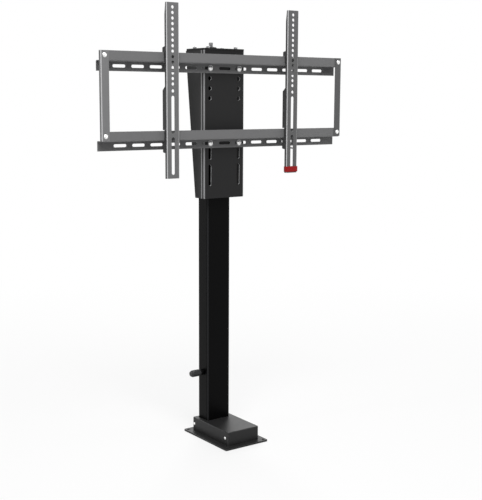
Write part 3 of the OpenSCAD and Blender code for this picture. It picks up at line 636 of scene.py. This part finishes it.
def turned(profile, name):                             # solid of revolution from (radius, height) in mm
    shape = bmesh.new()
    chain = [shape.verts.new((radius * mm, 0, height * mm)) for radius, height in profile]
    edges = [shape.edges.new(pair) for pair in zip(chain, chain[1:])]
    bmesh.ops.spin(shape, geom=chain + edges, cent=(0, 0, 0), axis=(0, 0, 1), angle=2 * math.pi,
                   steps=evenTurn)
    bmesh.ops.remove_doubles(shape, verts=shape.verts, dist=weld)
    bmesh.ops.recalc_face_normals(shape, faces=shape.faces)
    return meshOf(shape, name)


def prism(outline, bottom, top, name, taper=1.0):      # closed solid from an outline in millimetres
    shape = bmesh.new()
    lower = [shape.verts.new((x * mm * taper, y * mm * taper, bottom * mm)) for x, y in outline]
    upper = [shape.verts.new((x * mm, y * mm, top * mm)) for x, y in outline]
    shape.faces.new(lower[::-1])
    shape.faces.new(upper)
    count = len(outline)
    for i in range(count):
        shape.faces.new((lower[i], lower[(i + 1) % count], upper[(i + 1) % count], upper[i]))
    return meshOf(shape, name)


def hexOutline(flats):
    corner = flats / math.sqrt(3)
    return [(corner * math.cos(math.pi * k / 3), corner * math.sin(math.pi * k / 3)) for k in range(6)]


def crossOutline(reach, wing):
    corner = [(reach, -wing), (reach, wing), (wing, wing)]
    return [(x * math.cos(a) - y * math.sin(a), x * math.sin(a) + y * math.cos(a))
            for a in [k * math.pi / 2 for k in range(4)] for x, y in corner]


def combine(mesh, other, operation, name):             # boolean of two closed meshes
    first = bpy.data.objects.new("solidA", mesh)
    second = bpy.data.objects.new("solidB", other)
    for item in (first, second):
        scene.collection.objects.link(item)
    cut = first.modifiers.new("cut", "BOOLEAN")
    cut.operation = operation
    cut.solver = "EXACT"
    cut.object = second
    result = evaluated(first)
    result.name = name
    for item in (first, second):
        bpy.data.objects.remove(item)
    return result


def domed(radius, height, rise):                       # head profile: short rim, then a shallow dome
    rim = height - rise
    ball = (radius * radius + rise * rise) / (2 * rise)
    arc = []
    for k in range(domeSteps + 1):
        r = radius * (1 - k / domeSteps)
        arc.append((r, rim + math.sqrt(ball * ball - r * r) - (ball - rise)))
    return arc


# Heads point along +Z from their seat, shanks along -Z, sizes in millimetres
screwForm = {"tip": 0.6, "under": 0.3, "recess": 2.0, "over": 1.0, "wing": 0.24, "taper": 0.6}
rivetForm = {"under": 0.3, "tail": 1.4, "tailEdge": 1.0, "ring": 0.6, "lip": 0.35, "lipDrop": 0.15,
             "pit": 0.7, "break": 0.3, "breakDrop": 0.5, "middleDrop": 0.35}
washerForm = {"edge": 0.25, "bore": 0.1}
nutForm = {"flat": 0.2, "past": 0.05, "slope": 0.55, "over": 1.0, "flare": 1.6, "lead": 0.6}


def recessedHead(look, outline, taper, name):          # domed head on a shank, recess for a driver
    radius, height, shank, length = [look[key] for key in ("radius", "height", "shank", "length")]
    tip = screwForm["tip"]
    profile = [(0, -length), (shank - tip, -length), (shank, -length + tip), (shank, 0),
               (radius - screwForm["under"], 0), (radius, look["rim"])]
    profile += domed(radius, height, look["rise"])
    bit = prism(outline, height - screwForm["recess"], height + screwForm["over"], "driverBit", taper)
    return combine(turned(profile, name), bit, "DIFFERENCE", name)


def panHead(look, name):                               # cross recess
    outline = crossOutline(look["recess"], look["recess"] * screwForm["wing"])
    return recessedHead(look, outline, screwForm["taper"], name)


def socketHead(look, name):                            # six-sided socket
    return recessedHead(look, hexOutline(look["flats"]), 1.0, name)


def blindRivet(look, name):                            # domed flange, broken stem, upset tail
    radius, height, shank, length = [look[key] for key in ("radius", "height", "shank", "length")]
    tail, stem, form = look["tail"], look["stem"], rivetForm
    end = -length - form["tail"]
    profile = [(0, end), (tail - form["tailEdge"], end), (tail, -length - form["tail"] / 2),
               (tail, -length), (shank, -length), (shank, 0), (radius - form["under"], 0),
               (radius, look["rim"])]
    profile += [p for p in domed(radius, height, look["rise"]) if p[0] > stem + form["ring"]]
    profile += [(stem + form["lip"], height - form["lipDrop"]), (stem, height - form["pit"]),
                (stem - form["break"], height - form["breakDrop"]), (0, height - form["middleDrop"])]
    return turned(profile, name)


def flatWasher(look, name):
    outer, inner, height = look["outer"], look["inner"], look["height"]
    edge, bore = washerForm["edge"], washerForm["bore"]
    profile = [(inner, bore), (inner + bore, 0), (outer - edge, 0), (outer, edge),
               (outer, height - edge), (outer - edge, height), (inner + bore, height),
               (inner, height - bore), (inner, bore)]
    return turned(profile, name)


def hexNut(look, name):                                # six sides, both faces chamfered round
    flats, bore, height, form = look["flats"], look["bore"], look["height"], nutForm
    flat, reach = flats / 2 - form["flat"], flats / math.sqrt(3) + form["past"]
    slope = form["slope"] * (flats / math.sqrt(3) - flat)
    low, high = -form["over"], height + form["over"]
    blank = [(0, 0), (flat, 0), (reach, slope), (reach, height - slope), (flat, height), (0, height)]
    bar = prism(hexOutline(flats), low, high, "hexBar")
    block = combine(turned(blank, name), bar, "INTERSECT", name)
    wide, lead = bore + form["flare"], form["lead"]
    hole = [(0, low), (wide, low), (bore, lead), (bore, height - lead), (wide, high), (0, high)]
    return combine(block, turned(hole, "boreBit"), "DIFFERENCE", name)


fasteners = fastenerTree()
anyTurn = 6.28                                         # radians within which a head stops
nutTurn = 0.6
turnSeed = 4


def seatsAt(node, axis, sign, depth):                  # seats and aims, sign 0 is to either side
    seats = []
    for low, high in solids(node):
        out = sign or (1 if high[axis] > 0 else -1)
        place = (low + high) / 2
        place[axis] = (high if out > 0 else low)[axis] - out * depth
        aim = Vector((0, 0, 0))
        aim[axis] = out
        seats.append((place, aim))
    return seats


def setFasteners(node, name, maker, look, axis, sign, turn=anyTurn):
    seats = seatsAt(node, axis, sign, look["height"] * mm)
    master = bpy.data.objects.new(name + "Master", maker(look, name))
    scene.collection.objects.link(master)
    points = bpy.data.meshes.new(name + "Places")
    points.from_pydata([tuple(place) for place, aim in seats], [], [])
    aims = points.attributes.new("aim", "FLOAT_VECTOR", "POINT")
    for item, (place, aim) in zip(aims.data, seats):
        item.vector = aim
    values = {"Fastener": master, "Turn": turn, "Seed": turnSeed, "Finish": finishes[slotOf[node]]}
    result = grow(fasteners, points, values)
    bpy.data.objects.remove(master)
    addPiece(name + "Set", result, node)


railBolt = {"radius": 6.5, "height": 4.0, "rise": 3.0, "rim": 0.3, "shank": 3.4, "length": 14.6,
            "recess": 3.2}
strapRivet = {"radius": 6.0, "height": 2.8, "rise": 2.2, "rim": 0.3, "shank": 2.4, "length": 4.0,
              "tail": 3.9, "stem": 1.5}
capScrew = {"radius": 5.0, "height": 7.0, "rise": 1.4, "rim": 0.4, "shank": 2.4, "length": 14.0,
            "flats": 4.0}
washer = {"outer": 8.5, "inner": 3.7, "height": 1.6}
railNut = {"flats": 13.0, "bore": 3.6, "height": 6.0}
coverScrew = {"radius": 4.5, "height": 2.8, "rise": 1.8, "rim": 0.3, "shank": 2.4, "length": 8.0,
              "recess": 2.4}

setFasteners("rail_bolts", "railBolt", panHead, railBolt, 1, -1)
setFasteners("strap_rivets", "strapRivet", blindRivet, strapRivet, 1, -1)
setFasteners("cap_screws", "capScrew", socketHead, capScrew, 2, 1)
setFasteners("rail_washers", "railWasher", flatWasher, washer, 1, -1)
setFasteners("rail_nuts", "railNut", hexNut, railNut, 1, 1, nutTurn)
setFasteners("cover_screws", "coverScrew", panHead, coverScrew, 0, 0)
print("fasteners set")


# Threads: a ribbed cylinder whose radius follows a helix
threadFlank = (0.12, 0.38)                             # shares of a pitch, crest to flank's foot
ringsPerPitch = 8
studThread = {"Pitch": 1.75 * mm, "Starts": 1.0, "Depth": 0.95 * mm, "Tip": 1.2 * mm}
liftThread = {"Pitch": 4.0 * mm, "Starts": 3.0, "Depth": 1.6 * mm, "Tip": 2.0 * mm}


def threadTree():
    tree, wires = newTree("helixThread", {"Radius": "Float", "Length": "Float", "Pitch": "Float",
                                          "Starts": "Float", "Depth": "Float", "Rings": "Int",
                                          "Tip": "Float", "Finish": "Material"})
    radius, length, pitch = wires["Radius"], wires["Length"], wires["Pitch"]
    rod = radius.node("GeometryNodeMeshCylinder", {"fill_type": "NGON"},
                      {"Vertices": evenTurn, "Side Segments": wires["Rings"], "Radius": radius,
                       "Depth": length})
    x, y, z = rod.node("GeometryNodeInputPosition").parts()
    angle = y.maths("ARCTAN2", x) / (2 * math.pi)
    phase = (z / pitch - angle * wires["Starts"]).maths("FRACT")
    flank = phase.swing().maths("ABSOLUTE").ramp(*threadFlank)
    crop = (length * 0.5 - z.maths("ABSOLUTE")) / wires["Tip"]
    bevel = (1 - crop.maths("MINIMUM", 1.0)).maths("MAXIMUM", 0.0)
    reach = radius - wires["Depth"] * flank.maths("MAXIMUM", bevel)
    turn = angle * (2 * math.pi)
    spot = rod.node("ShaderNodeCombineXYZ", sockets={"X": reach * turn.maths("COSINE"),
                                                     "Y": reach * turn.maths("SINE"), "Z": z})
    shaped = rod.node("GeometryNodeSetPosition", sockets={"Geometry": rod, "Position": spot})
    closeTree(tree, shaped, wires["Finish"])
    return tree


threads = threadTree()


def makeThread(node, name, look):
    low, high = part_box(node)
    length = high.z - low.z
    values = dict(look, Radius=(high.x - low.x) / 2, Length=length, Finish=finishes[slotOf[node]],
                  Rings=int(length / look["Pitch"] * ringsPerPitch))
    result = grow(threads, bpy.data.meshes.new(name + "Seed"), values)
    result.transform(Matrix.Translation((low + high) / 2))
    addPiece(name, result, node)


makeThread("cap_stud", "capStudThread", studThread)
makeThread("lifting_screw", "liftingScrewThread", liftThread)
print("threads cut")


# CAD nodes that stay as they are inside the foot and the tubes
kept = [node for node in nodes if not nodes[node].hide_render]
for node in kept:
    mesh = nodes[node].data
    mesh.materials.clear()
    mesh.materials.append(finishes[slotOf[node]])
print("kept nodes: %d" % len(kept))


# Stage
floorLook = {"reach": 14.0, "sides": 96, "drop": 0.3 * mm, "colour": (0.86, 0.86, 0.86), "blotch": 0.8,
             "tones": (0.99, 1.01), "glow": 0.72, "plain": (0.5, 2.6)}
worldLook = {"colour": (1.0, 1.0, 1.0), "ambient": 0.15}
lamps = {                                              # degrees from the front and up, metres, watts
    "keyLamp": {"azimuth": -26, "height": 48, "distance": 2.8, "power": 88, "size": (2.2, 1.6)},
    "fillLamp": {"azimuth": 60, "height": 6, "distance": 3.4, "power": 14, "size": (1.6, 1.6)},
    "edgeLamp": {"azimuth": -100, "height": 4, "distance": 3.0, "power": 10, "size": (0.4, 2.6)},
    "backLamp": {"azimuth": 150, "height": 34, "distance": 3.2, "power": 75, "size": (2.2, 1.8)},
}
lampAim = Vector((0, 0, 0.85))
view = {"place": (-1.60246, -2.33612, 0.96973), "turn": 36.012, "down": 8.672, "roll": 0.275,
        "lens": 72.0, "sensor": 36.0, "far": 60}


def seenShare(tree):                                   # 1 for rays that show the background
    path = Wire(tree).node("ShaderNodeLightPath", out="Is Camera Ray")
    glossy, through = [Wire(tree, path.socket.node.outputs["Is %s Ray" % kind])
                       for kind in ("Glossy", "Transmission")]
    return path.maths("MAXIMUM", glossy).maths("MAXIMUM", through)


def makeFloor(look):
    shape = bmesh.new()
    bmesh.ops.create_circle(shape, cap_ends=True, radius=look["reach"], segments=look["sides"])
    bmesh.ops.translate(shape, verts=shape.verts, vec=(0, 0, -look["drop"]))
    mesh = meshOf(shape, "floorDisc")
    material = bpy.data.materials.new("paleFloor")
    material.use_nodes = True
    tree = material.node_tree
    tree.nodes.clear()
    start = Wire(tree).node("ShaderNodeTexCoord", out="Object")
    dark, light = [rgba(look["colour"], gain) for gain in look["tones"]]
    tone = blendColour(noise(start, look["blotch"]), dark, light)
    away = start.node("ShaderNodeVectorMath", {"operation": "LENGTH"}, {0: start}, out="Value")
    glowShare = look["glow"] + (1 - look["glow"]) * away.ramp(*look["plain"])
    plain = start.node("ShaderNodeBsdfDiffuse", sockets={"Color": tone})
    glow = start.node("ShaderNodeEmission", sockets={"Color": (1, 1, 1, 1), "Strength": 1.0})
    shown = seenShare(tree) * glowShare
    mixed = start.node("ShaderNodeMixShader", sockets={0: shown, 1: plain, 2: glow})
    leave = tree.nodes.new("ShaderNodeOutputMaterial")
    tree.links.new(mixed.socket, leave.inputs["Surface"])
    mesh.materials.append(material)
    floor = bpy.data.objects.new("floorDisc", mesh)
    scene.collection.objects.link(floor)


def makeWorld(look):
    world = bpy.data.worlds.new("paleStudio")
    world.use_nodes = True
    tree = world.node_tree
    back = tree.nodes["Background"]
    back.inputs["Color"].default_value = rgba(look["colour"])
    plug(tree, back.inputs["Strength"], look["ambient"] + (1 - look["ambient"]) * seenShare(tree))
    scene.world = world


def makeLamp(name, look):
    data = bpy.data.lights.new(name, "AREA")
    data.shape = "RECTANGLE"
    data.size, data.size_y = look["size"]
    data.energy = look["power"]
    lamp = bpy.data.objects.new(name, data)
    scene.collection.objects.link(lamp)
    turn, rise = math.radians(look["azimuth"]), math.radians(look["height"])
    away = Vector((math.sin(turn) * math.cos(rise), -math.cos(turn) * math.cos(rise), math.sin(rise)))
    lamp.location = lampAim + away * look["distance"]
    lamp.rotation_euler = away.to_track_quat("Z", "Y").to_euler()


def makeCamera(look):
    data = bpy.data.cameras.new("photoCamera")
    data.lens = look["lens"]
    data.sensor_width = look["sensor"]
    data.clip_end = look["far"]
    camera = bpy.data.objects.new("photoCamera", data)
    camera.location = look["place"]
    turn = Matrix.Rotation(-math.radians(look["turn"]), 3, "Z")
    tilt = Matrix.Rotation(math.radians(90 - look["down"]), 3, "X")
    roll = Matrix.Rotation(math.radians(look["roll"]), 3, "Z")
    camera.rotation_euler = (turn @ tilt @ roll).to_euler()
    scene.collection.objects.link(camera)
    scene.camera = camera


makeFloor(floorLook)
makeWorld(worldLook)
for name, look in lamps.items():
    makeLamp(name, look)
makeCamera(view)
scene.view_settings.view_transform = "Standard"
print("stage set")
